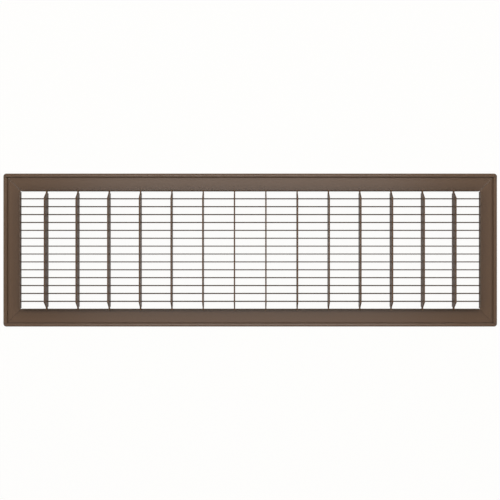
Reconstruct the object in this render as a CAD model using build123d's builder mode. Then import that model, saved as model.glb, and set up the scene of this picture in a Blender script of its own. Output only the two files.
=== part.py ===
from build123d import *
import os

os.makedirs("parts", exist_ok=True)

# Return air grille, all sizes in mm. The room face lies in the plane z = 0 and the duct side looks up, +Z.
# X runs along the blades and Y across them.

# Frame: four mitred C-section rails folded from sheet
opening_length = 746.0
opening_width = 191.0
flange_width = 29.25
sheet = 1.2
bend_radius = 2.0
wall_height = 12.0
rim_height = 4.75
lip_width = 6.0
corner_radius = 5.0
corner_sweep = 60.0
mitre_seam = 0.2
wall_setback = 1.5
relief_radius = 1.2

# Blades: flat strips on edge, flush with the room face
blade_pitch = 12.85
blade_thickness = 1.6
blade_depth = 6.35
tenon_height = 2.8
tenon_rise = 3.0

# Cross bars: deep strips that carry the blades in notches open to the room face
bar_pitch = 50.8
bar_thickness = 1.9
bar_depth = 25.4
tab_rise = 5.0
tab_height = 6.5
shoulder_gap = 3.0
chamfer_gap = 2.4
chamfer_run = 8.9

# Fits
slot_clearance = 0.2
end_clearance = 0.3
tab_proud = 1.0

frame_length = opening_length + 2 * flange_width
frame_width = opening_width + 2 * flange_width
tab_reach = sheet + tab_proud
blade_count = int(opening_width // blade_pitch)
bar_count = int(opening_length // bar_pitch)


def frame_rail(length, half_span, turn, slot_count, slot_pitch, slot_width, slot_rise, slot_height):
    """One rail, its outer edge half_span from the middle, turned about Z. Its wall is slotted for the strips."""
    side = Plane.XY.rotated((0, 0, turn))
    ends = (-1, 1)
    first_section = Plane(
        side.from_local_coords((corner_radius - length / 2, -half_span, 0)), side.y_dir, side.x_dir
    )
    wall_plane = Plane(
        side.from_local_coords((0, flange_width - half_span, 0)), side.x_dir, -side.y_dir
    )
    half_opening = length / 2 - flange_width
    with BuildPart() as rail:
        # C-section: return lip, rim, face plate and inner wall
        with BuildSketch(first_section) as section:
            with BuildLine():
                FilletPolyline(
                    (lip_width, rim_height),
                    (0, rim_height),
                    (0, 0),
                    (flange_width, 0),
                    (flange_width, wall_height),
                    radius=bend_radius,
                )
                offset(amount=sheet, side=Side.LEFT)
            make_face()
        extrude(amount=length - 2 * corner_radius)
        # The rim and lip turn round the outer corner as far as the mitre
        for end in ends:
            pivot = side.from_local_coords((end * (length / 2 - corner_radius), corner_radius - half_span, 0))
            edge = side.from_local_coords((end * (length / 2 - corner_radius), -half_span, 0))
            with BuildSketch(Plane(edge, side.y_dir, side.x_dir)):
                add(section.sketch_local)
                Rectangle(corner_radius, rim_height, align=(Align.MIN, Align.MIN), mode=Mode.INTERSECT)
            revolve(axis=Axis(pivot, (0, 0, end)), revolution_arc=corner_sweep)
        for end in ends:
            pivot = side.from_local_coords((end * (length / 2 - corner_radius), corner_radius - half_span, 0))
            into_rail = (side.x_dir * -end - side.y_dir).normalized()
            split(bisect_by=Plane(pivot + into_rail * (mitre_seam / 2), z_dir=into_rail), keep=Keep.TOP)
        # Slots for the strip ends, and the wall stopped short of each corner
        with BuildSketch(wall_plane):
            with GridLocations(slot_pitch, 0, slot_count, 1):
                with Locations((0, slot_rise)):
                    Rectangle(slot_width, slot_height, align=(Align.CENTER, Align.MIN))
            with Locations((-half_opening, bend_radius), (half_opening, bend_radius)):
                Rectangle(2 * wall_setback, wall_height, align=(Align.CENTER, Align.MIN))
        extrude(amount=2 * sheet, both=True, mode=Mode.SUBTRACT)
        # Corner relief where two rails meet
        relief = flange_width - sheet / 2
        with Locations(
            *[side.from_local_coords((end * (length / 2 - relief), relief - half_span, 0)) for end in ends]
        ):
            Cylinder(relief_radius, 2 * wall_height, mode=Mode.SUBTRACT)
    return rail.part


def blade(y):
    """One blade, with a tenon at each end for the slot of an end rail."""
    with BuildPart() as strip:
        with BuildSketch(Plane.XZ.offset(-y)):
            Rectangle(opening_length - 2 * end_clearance, blade_depth, align=(Align.CENTER, Align.MIN))
            with Locations((0, tenon_rise)):
                Rectangle(opening_length + 2 * tab_reach, tenon_height, align=(Align.CENTER, Align.MIN))
        extrude(amount=blade_thickness / 2, both=True)
    return strip.part


def cross_bar(x):
    """One cross bar, its ends chamfered on the duct side and drawn down to a tab for the wall of a long rail."""
    half = opening_width / 2
    tab_end = half + tab_reach
    tab_top = tab_rise + tab_height
    with BuildPart() as bar:
        with BuildSketch(Plane.YZ.offset(x)):
            with BuildLine():
                Polyline(
                    (0, 0),
                    (half - shoulder_gap, 0),
                    (half - shoulder_gap, tab_rise),
                    (tab_end, tab_rise),
                    (tab_end, tab_top),
                    (half - chamfer_gap, tab_top),
                    (half - chamfer_gap - chamfer_run, bar_depth),
                    (0, bar_depth),
                )
                mirror(about=Plane.YZ)
            make_face()
            with GridLocations(blade_pitch, 0, blade_count, 1):
                Rectangle(
                    blade_thickness + 2 * slot_clearance,
                    2 * (blade_depth + slot_clearance),
                    mode=Mode.SUBTRACT,
                )
        extrude(amount=bar_thickness / 2, both=True)
    return bar.part


pieces = {}

# Long rails take the cross-bar tabs in notches open at the edge of the wall
tab_slot = bar_thickness + 2 * slot_clearance
for name, turn in (("frame_rail_bottom", 0), ("frame_rail_top", 180)):
    pieces[name] = frame_rail(
        frame_length, frame_width / 2, turn, bar_count, bar_pitch, tab_slot, tab_rise - slot_clearance, wall_height
    )

# End rails take the blade tenons in closed slots
tenon_slot = blade_thickness + 2 * slot_clearance
tenon_slot_height = tenon_height + 2 * slot_clearance
for name, turn in (("frame_rail_right", 90), ("frame_rail_left", 270)):
    pieces[name] = frame_rail(
        frame_width,
        frame_length / 2,
        turn,
        blade_count,
        blade_pitch,
        tenon_slot,
        tenon_rise - slot_clearance,
        tenon_slot_height,
    )

# Blades are numbered from the top of the photograph, cross bars from its left
for i in range(blade_count):
    pieces[f"blade_{i + 1:02d}"] = blade(((blade_count - 1) / 2 - i) * blade_pitch)
for i in range(bar_count):
    pieces[f"cross_bar_{i + 1:02d}"] = cross_bar((i - (bar_count - 1) / 2) * bar_pitch)

for name, piece in pieces.items():
    piece.label = name
    export_step(piece, f"parts/{name}.step")
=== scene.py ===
import bpy
from math import cos, radians
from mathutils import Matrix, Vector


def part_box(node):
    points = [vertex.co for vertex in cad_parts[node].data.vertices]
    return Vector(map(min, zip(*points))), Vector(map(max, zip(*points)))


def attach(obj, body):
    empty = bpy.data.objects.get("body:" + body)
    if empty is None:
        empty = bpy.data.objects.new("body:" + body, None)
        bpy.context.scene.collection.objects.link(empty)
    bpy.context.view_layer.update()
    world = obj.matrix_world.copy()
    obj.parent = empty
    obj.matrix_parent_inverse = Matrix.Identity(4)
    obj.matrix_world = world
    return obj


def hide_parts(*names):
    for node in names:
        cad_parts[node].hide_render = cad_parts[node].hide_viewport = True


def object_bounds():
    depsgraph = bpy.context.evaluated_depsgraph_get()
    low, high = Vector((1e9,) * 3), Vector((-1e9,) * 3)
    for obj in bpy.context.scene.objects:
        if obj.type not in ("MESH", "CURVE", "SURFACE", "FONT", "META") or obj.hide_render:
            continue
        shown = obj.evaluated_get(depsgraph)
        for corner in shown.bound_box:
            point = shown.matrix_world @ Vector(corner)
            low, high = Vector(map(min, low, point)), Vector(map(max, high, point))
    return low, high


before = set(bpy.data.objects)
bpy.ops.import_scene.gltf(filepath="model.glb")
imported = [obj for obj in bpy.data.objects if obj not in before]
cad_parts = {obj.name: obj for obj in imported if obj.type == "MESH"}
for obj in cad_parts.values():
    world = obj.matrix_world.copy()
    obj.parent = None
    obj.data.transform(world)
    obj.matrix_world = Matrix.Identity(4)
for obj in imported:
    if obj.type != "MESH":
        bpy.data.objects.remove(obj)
cad_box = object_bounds()


def nodes_called(start):
    return sorted(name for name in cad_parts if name.startswith(start))


RAILS = nodes_called("frame_rail_")
BLADES = nodes_called("blade_")
CROSS_BARS = nodes_called("cross_bar_")

# sizes are in metres
HALF_LENGTH = cad_box[1][0]
HALF_WIDTH = cad_box[1][1]
left_rail_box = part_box("frame_rail_left")
FLANGE = left_rail_box[1][0] - left_rail_box[0][0]
SHEET = 0.0012


class Value:
    """A shader socket that takes part in Python sums."""

    def __init__(self, paint, socket):
        self.paint = paint
        self.socket = socket

    def combine(self, operation, *terms):
        return self.paint.node("ShaderNodeMath", {"operation": operation}, dict(enumerate(terms)))

    def __add__(self, other):
        return self.combine("ADD", self, other)

    def __radd__(self, other):
        return self.combine("ADD", other, self)

    def __sub__(self, other):
        return self.combine("SUBTRACT", self, other)

    def __rsub__(self, other):
        return self.combine("SUBTRACT", other, self)

    def __mul__(self, other):
        return self.combine("MULTIPLY", self, other)

    def __rmul__(self, other):
        return self.combine("MULTIPLY", other, self)

    def __abs__(self):
        return self.combine("ABSOLUTE", self)

    def least(self, other):
        return self.combine("MINIMUM", self, other)


class Paint:
    """The nodes that make a material or the studio's white surroundings."""

    def __init__(self, owner):
        owner.use_nodes = True
        self.owner = owner
        self.tree = owner.node_tree
        self.tree.nodes.clear()

    def node(self, kind, settings=None, inputs=None, out=0):
        made = self.tree.nodes.new(kind)
        for key, setting in (settings or {}).items():
            if key == "stops":
                for element, (position, colour) in zip(made.color_ramp.elements, setting):
                    element.position = position
                    element.color = (*colour, 1)
            else:
                setattr(made, key, setting)
        for key, given in (inputs or {}).items():
            if isinstance(given, Value):
                self.tree.links.new(given.socket, made.inputs[key])
            else:
                made.inputs[key].default_value = given
        return Value(self, made.outputs[out]) if made.outputs else None

    def noise(self, place, scale, detail, roughness):
        sizes = {"Vector": place, "Scale": scale, "Detail": detail, "Roughness": roughness}
        return self.node("ShaderNodeTexNoise", inputs=sizes)

    def fade(self, value, full, none):
        """1 where the value is at full, falling smoothly to 0 at none."""
        ends = {"Value": value, "From Min": full, "From Max": none, "To Min": 1.0, "To Max": 0.0}
        return self.node("ShaderNodeMapRange", {"interpolation_type": "SMOOTHSTEP"}, ends)

    def seen_directly(self):
        """1 for what is seen, also in reflections, and 0 for light that falls on things."""
        rays = self.node("ShaderNodeLightPath").socket.node.outputs
        camera_ray = Value(self, rays["Is Camera Ray"])
        return camera_ray + Value(self, rays["Is Glossy Ray"]) + Value(self, rays["Is Transmission Ray"])


# each line's distance from its middle where it is full, and where it is gone
SEAM_LINE = (0.0002, 0.0009)
FOLD_SHADE_LINE = (0.0002, 0.0018)
WALL_SHADE_LINE = (0.0001, -0.0004)
FOOT_SHADE_FADE = (0.0, 0.022)
CROWN_FADE = (0.0, 0.0034)
LIP_HEIGHT = (0.004, 0.003)
MITRE_STEP_REACH = 0.0008
RAIL_END_REACH = 0.0005
MIDDLE_REACH = 0.001
LIP_FOLD = 0.0057
LIP_CROWN = 0.002
TOP_CROWN_SHIFT = 0.0022
END_WALL_SHADE_SHARE = 0.3
END_FOOT_SHADE_LOSS = 0.6


def frame_marks(paint, place):
    """Where the rails have a step and a line at the mitres, a fold darkened with painted shade and a
    crown along the long lips, a dull inner wall darkened with painted shade, and painted shade darkening
    the plate towards that wall."""
    axes = paint.node("ShaderNodeSeparateXYZ", inputs={0: place}).socket.node.outputs
    from_end = HALF_LENGTH - abs(Value(paint, axes[0]))
    from_side = HALF_WIDTH - abs(Value(paint, axes[1]))
    from_edge = from_end.least(from_side)
    past_mitre = from_end - from_side
    step = paint.fade(past_mitre, -MITRE_STEP_REACH, MITRE_STEP_REACH)
    seam = paint.fade(abs(past_mitre), *SEAM_LINE)
    # painted shade: the fold under the long lips is darkened in the colour as well as dulled
    fold_shade_mask = paint.fade(abs(from_side - LIP_FOLD), *FOLD_SHADE_LINE)
    # painted shade: the inner wall is darkened in the colour, fully on the long rails and less on the
    # end rails
    on_long_rails = paint.fade(from_end - FLANGE, RAIL_END_REACH, -RAIL_END_REACH)
    wall_shade_share = END_WALL_SHADE_SHARE + (1 - END_WALL_SHADE_SHARE) * on_long_rails
    wall_shade_mask = paint.fade(from_edge - (FLANGE - SHEET), *WALL_SHADE_LINE) * wall_shade_share
    on_lip = paint.fade(Value(paint, axes[2]), *LIP_HEIGHT)
    on_top = paint.fade(Value(paint, axes[1]), MIDDLE_REACH, -MIDDLE_REACH)
    crown = on_lip * paint.fade(abs(from_side - LIP_CROWN - on_top * TOP_CROWN_SHIFT), *CROWN_FADE)
    # painted shade: the plate grows darker towards the inner wall, less so on the end rails
    foot_shade_mask = paint.fade(FLANGE - from_edge, *FOOT_SHADE_FADE) * (1.0 - END_FOOT_SHADE_LOSS * step)
    return step, seam, fold_shade_mask, wall_shade_mask, crown, foot_shade_mask


BROWNS = ((0.3, (0.097, 0.055, 0.031)), (0.7, (0.104, 0.060, 0.034)))
BLACK = (0, 0, 0, 1)

# the scale, detail and roughness of each noise
CLOUD = (9.0, 3.0, 0.5)
SPECK = (420.0, 2.0, 0.6)
GRAIN = (2600.0, 1.0, 0.5)
PEEL_DETAIL = (1.5, 0.45)
NOISE_MIDDLE = 0.5
CLOUD_IN_COLOUR = 0.5
SPECK_IN_COLOUR = 0.5
CLOUD_IN_GLOSS = 0.04
SPECK_IN_GLOSS = 0.08

# heights are shares of the peel's height
GRAIN_RISE = 0.12
STEP_RISE = 16.0
CROWN_RISE = 28.0
FOLD_DULLING = 0.4
WALL_DULLING = 0.5
# how far the painted shade in the fold, on the wall and towards its foot, and the seam line, darken the
# colour
FOLD_SHADE = 0.3
WALL_SHADE = 0.25
SEAM_SHADE = 0.28
FOOT_SHADE = 0.22


def enamel(name, depth, sheen, gloss, peel_size, peel_height, marks=None):
    """Baked brown enamel: mottled colour, specks, orange peel and the marks of the piece, some of them
    painted shade.
    """
    paint = Paint(bpy.data.materials.new(name))
    place = paint.node("ShaderNodeTexCoord", out="Object")
    cloud = paint.noise(place, *CLOUD)
    speck = paint.noise(place, *SPECK)
    peel = paint.noise(place, 1.0 / peel_size, *PEEL_DETAIL)
    grain = paint.noise(place, *GRAIN)
    stops = [(position, [depth * part for part in tone]) for position, tone in BROWNS]
    mottle = cloud * CLOUD_IN_COLOUR + speck * SPECK_IN_COLOUR
    colour = paint.node("ShaderNodeValToRGB", {"stops": stops}, {"Fac": mottle})
    rough = gloss + (cloud - NOISE_MIDDLE) * CLOUD_IN_GLOSS + (speck - NOISE_MIDDLE) * SPECK_IN_GLOSS
    height = peel + grain * GRAIN_RISE
    if marks:
        step, seam, fold_shade_mask, wall_shade_mask, crown, foot_shade_mask = marks(paint, place)
        height = height + step * STEP_RISE + crown * CROWN_RISE
        rough = rough + fold_shade_mask * FOLD_DULLING + wall_shade_mask * WALL_DULLING
        # painted shade in the fold, on the inner wall and on the plate towards it, with the seam line,
        # mixed towards black
        shade = fold_shade_mask * FOLD_SHADE + wall_shade_mask * WALL_SHADE + seam * SEAM_SHADE + foot_shade_mask * FOOT_SHADE
        mixed = {0: shade, 6: colour, 7: BLACK}
        colour = paint.node("ShaderNodeMix", {"data_type": "RGBA"}, mixed, out=2)
    bump = {"Height": height, "Strength": 1.0, "Distance": peel_height}
    normal = paint.node("ShaderNodeBump", inputs=bump)
    surface = paint.node(
        "ShaderNodeBsdfPrincipled",
        inputs={"Base Color": colour, "Roughness": rough, "Normal": normal, "Specular IOR Level": sheen},
    )
    paint.node("ShaderNodeOutputMaterial", inputs={"Surface": surface})
    return paint.owner


frame_enamel = enamel(
    "frame_enamel", depth=1.0, sheen=0.23, gloss=0.23,
    peel_size=0.0022, peel_height=0.000015, marks=frame_marks,
)
# painted shade: the blades use the same brown enamel at 0.6 of its depth, darker than the frame and bars
blade_enamel = enamel(
    "blade_enamel", depth=0.6, sheen=0.05, gloss=0.50, peel_size=0.0016, peel_height=0.00002
)
bar_enamel = enamel(
    "bar_enamel", depth=1.0, sheen=0.06, gloss=0.42, peel_size=0.0018, peel_height=0.00002
)

RAIL_EDGE = 0.00025
STRIP_EDGE = 0.00015
EDGE_SEGMENTS = 2
LONG_EDGE = 0.036
STRAIGHT_FIT = 0.000001
MERGE_DISTANCE = 0.000002
MITRE_FILL = 0.00009
SLANT = cos(radians(45))
SLANT_FIT = 0.001
FLAT_ANGLE = radians(0.05)
CUT_ANGLE = radians(50)
SMOOTH_ANGLE = radians(40)


def apply_modifier(piece, kind, settings):
    bpy.ops.object.modifier_add(type=kind)
    modifier = piece.modifiers[-1]
    for key, setting in settings.items():
        setattr(modifier, key, setting)
    bpy.ops.object.modifier_apply(modifier=modifier.name)


def fill_mitres(piece):
    """Paint fills the mitre seams: the slanting end faces grow towards each other."""
    for face in piece.data.polygons:
        along, across, _ = face.normal
        if abs(abs(along) - SLANT) < SLANT_FIT and abs(abs(across) - SLANT) < SLANT_FIT:
            for index in face.vertices:
                piece.data.vertices[index].co.x += MITRE_FILL * along
                piece.data.vertices[index].co.y += MITRE_FILL * across


def long_and_straight(span):
    """True for an edge along X or Y that is longer than a mitre."""
    _, sideways, length = sorted(abs(step) for step in span)
    return sideways < STRAIGHT_FIT and length > LONG_EDGE


def round_cut_edges(piece, width, wanted):
    """Rounds over the cut edges, or those of them that are wanted."""
    bpy.ops.object.mode_set(mode="EDIT")
    bpy.ops.mesh.select_mode(type="EDGE")
    bpy.ops.mesh.select_all(action="DESELECT")
    bpy.ops.mesh.edges_select_sharp(sharpness=CUT_ANGLE)
    bpy.ops.object.mode_set(mode="OBJECT")
    mesh = piece.data
    rounded = mesh.attributes.new("bevel_weight_edge", "FLOAT", "EDGE")
    for edge in mesh.edges:
        start, end = (mesh.vertices[index].co for index in edge.vertices)
        rounded.data[edge.index].value = float(edge.select and (wanted is None or wanted(end - start)))
    limits = {"limit_method": "WEIGHT", "use_clamp_overlap": False}
    apply_modifier(piece, "BEVEL", {"width": width, "segments": EDGE_SEGMENTS, **limits})


def merge_points():
    """Starts editing the piece, with all of it selected and points that coincide made one."""
    bpy.ops.object.mode_set(mode="EDIT")
    bpy.ops.mesh.select_all(action="SELECT")
    bpy.ops.mesh.remove_doubles(threshold=MERGE_DISTANCE)


def dressed(node_name, finish, edge, wanted=None):
    """The piece as painted: the CAD form with its cut edges rounded over."""
    bpy.ops.object.select_all(action="DESELECT")
    piece = bpy.data.objects.new(f"painted_{node_name}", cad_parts[node_name].data.copy())
    bpy.context.scene.collection.objects.link(piece)
    piece.select_set(True)
    bpy.context.view_layer.objects.active = piece
    merge_points()
    bpy.ops.mesh.dissolve_limited(angle_limit=FLAT_ANGLE)
    bpy.ops.object.mode_set(mode="OBJECT")
    fill_mitres(piece)
    round_cut_edges(piece, edge, wanted)
    merge_points()
    bpy.ops.mesh.quads_convert_to_tris(quad_method="BEAUTY", ngon_method="BEAUTY")
    bpy.ops.object.mode_set(mode="OBJECT")
    bpy.ops.object.shade_smooth_by_angle(angle=SMOOTH_ANGLE)
    apply_modifier(piece, "WEIGHTED_NORMAL", {"keep_sharp": True})
    piece.data.materials.clear()
    piece.data.materials.append(finish)
    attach(piece, "root")
    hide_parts(node_name)
    return piece


for name in RAILS:
    dressed(name, frame_enamel, RAIL_EDGE, long_and_straight)
for name in BLADES:
    dressed(name, blade_enamel, STRIP_EDGE)
for name in CROSS_BARS:
    dressed(name, bar_enamel, STRIP_EDGE)


STUDIO_WHITE = (1, 0.996, 0.985, 1)
FLOOR_GREY = (0.8, 0.8, 0.79, 1)
FLOOR_SIZE = 12
FLOOR_DROP = 0.0002
FLOOR_WHITE_SHARE = 0.95
ROOM_LIGHT = 0.28


def white_floor():
    """The studio floor: white to the camera and in reflections, with the grille's faint shadow."""
    bpy.ops.object.select_all(action="DESELECT")
    bpy.ops.mesh.primitive_plane_add(size=FLOOR_SIZE, location=(0, 0, -FLOOR_DROP))
    floor = bpy.context.object
    floor.name = "floor"
    paint = Paint(bpy.data.materials.new("floor_white"))
    matt = paint.node("ShaderNodeBsdfDiffuse", inputs={"Color": FLOOR_GREY})
    white = paint.node("ShaderNodeEmission", inputs={"Color": STUDIO_WHITE, "Strength": 1.0})
    limited = {"operation": "MULTIPLY", "use_clamp": True}
    share = paint.node("ShaderNodeMath", limited, {0: paint.seen_directly(), 1: FLOOR_WHITE_SHARE})
    both = paint.node("ShaderNodeMixShader", inputs={0: share, 1: matt, 2: white})
    paint.node("ShaderNodeOutputMaterial", inputs={"Surface": both})
    floor.data.materials.append(paint.owner)


def lamp(name, place, turn, size, power):
    data = bpy.data.lights.new(name, "AREA")
    data.shape = "RECTANGLE"
    data.size, data.size_y = size
    data.energy = power
    light = bpy.data.objects.new(name, data)
    light.location = place
    light.rotation_euler = [radians(angle) for angle in turn]
    bpy.context.scene.collection.objects.link(light)


white_floor()
lamp("overhead_softbox", place=(0, 0.15, 1.9), turn=(-5, 0, 0), size=(1.3, 1.1), power=9.2)
lamp("top_strip", place=(0, 0.65, 1.9), turn=(-19, 0, 0), size=(1.4, 0.35), power=11.5)
lamp("fill_top", place=(0, 2.1, 1.3), turn=(-58, 0, 0), size=(2.0, 0.6), power=7)
lamp("fill_left", place=(-1.9, 0.2, 1.7), turn=(0, -48, 0), size=(0.6, 1.6), power=15)
lamp("fill_right", place=(1.9, 0.2, 1.7), turn=(0, 48, 0), size=(0.6, 1.6), power=15)


def white_surroundings():
    """The studio walls: white where they are seen, with a soft light of their own."""
    paint = Paint(bpy.data.worlds.new("studio"))
    light = paint.node("ShaderNodeBackground", inputs={"Color": (1, 1, 1, 1), "Strength": ROOM_LIGHT})
    white = paint.node("ShaderNodeBackground", inputs={"Color": STUDIO_WHITE, "Strength": 1.0})
    both = paint.node("ShaderNodeMixShader", inputs={0: paint.seen_directly(), 1: light, 2: white})
    paint.node("ShaderNodeOutputWorld", inputs={"Surface": both})
    bpy.context.scene.world = paint.owner


white_surroundings()

lens = bpy.data.cameras.new("camera")
lens.sensor_width = 36
lens.lens = 61.05
camera = bpy.data.objects.new("camera", lens)
camera.location = (-0.0003, 0.0001, 1.385)
bpy.context.scene.collection.objects.link(camera)
bpy.context.scene.camera = camera

bpy.context.scene.view_settings.view_transform = "Standard"
